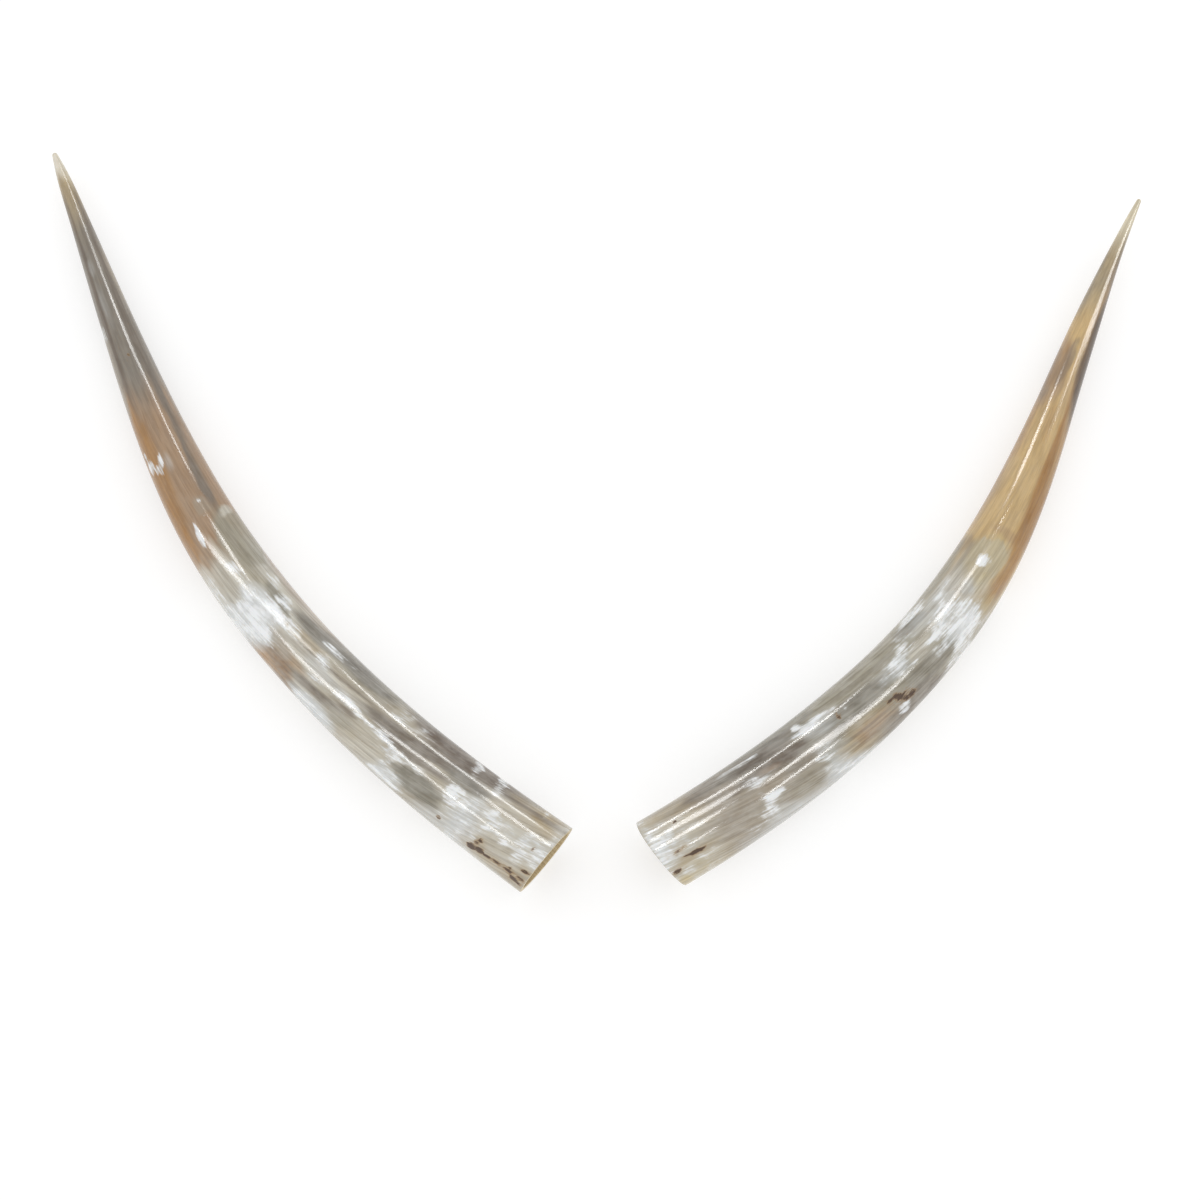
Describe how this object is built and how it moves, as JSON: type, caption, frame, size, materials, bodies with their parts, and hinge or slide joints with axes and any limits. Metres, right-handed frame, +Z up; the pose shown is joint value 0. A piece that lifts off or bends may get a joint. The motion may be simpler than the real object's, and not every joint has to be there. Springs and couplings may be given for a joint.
{
  "type": "pair of polished cow horns",
  "caption": "Pair of polished cow horns: long, gently curved, tapering keratin sheaths, glossy and half clear, each sawn flat and hollow at the base and pointed at the tip, lying in a V.",
  "frame": {"origin": "centre of the pair's footprint, on the surface that both horns lie on", "axes": "+Z up from the surface, +X across the pair from the left horn to the right one, +Y from the sawn bases towards the tips"},
  "size_m": [1.0874, 0.7462, 0.0715],
  "materials": {
    "polished_horn_left": "polished natural horn, half clear, grey-brown and cream",
    "polished_horn_right": "polished natural horn, half clear, tan and cream"
  },
  "bodies": {
    "root": {"horn_left": "polished_horn_left", "horn_right": "polished_horn_right"}
  },
  "joints": []
}
